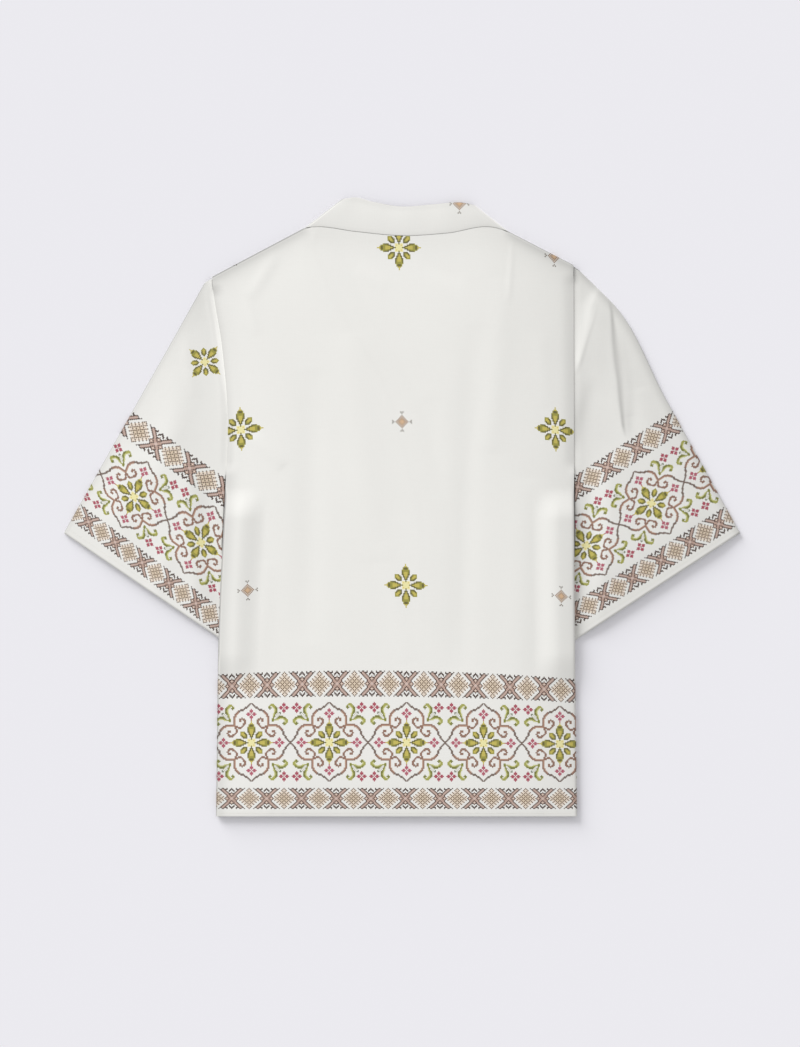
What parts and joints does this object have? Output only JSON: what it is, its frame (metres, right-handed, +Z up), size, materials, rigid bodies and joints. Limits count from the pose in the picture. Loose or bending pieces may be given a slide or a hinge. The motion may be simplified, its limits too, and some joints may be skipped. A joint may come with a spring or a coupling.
{
  "type": "short-sleeve shirt",
  "caption": "Short-sleeve shirt with a V neck, a standing neck band and a buttoned front, laid flat with its back up.",
  "frame": {"origin": "centre of the shirt's footprint, on the surface that it lies on", "axes": "+Z up from the surface, +Y towards the neck, +X towards the wearer's right sleeve"},
  "size_m": [0.7436, 0.6802, 0.0103],
  "materials": {
    "printed_cloth": "matt off-white linen and cotton cloth with a printed cross-stitch border",
    "band_cloth": "matt off-white linen and cotton cloth, double",
    "button_plastic": "satin off-white"
  },
  "bodies": {
    "root": {"back": "printed_cloth", "front_left": "printed_cloth", "front_right": "printed_cloth", "sleeve_left": "printed_cloth", "sleeve_right": "printed_cloth", "neck_band": "band_cloth", "front_band_left": "band_cloth", "front_band_right": "band_cloth", "button_1": "button_plastic", "button_2": "button_plastic", "button_3": "button_plastic", "button_4": "button_plastic", "button_5": "button_plastic"}
  },
  "joints": []
}
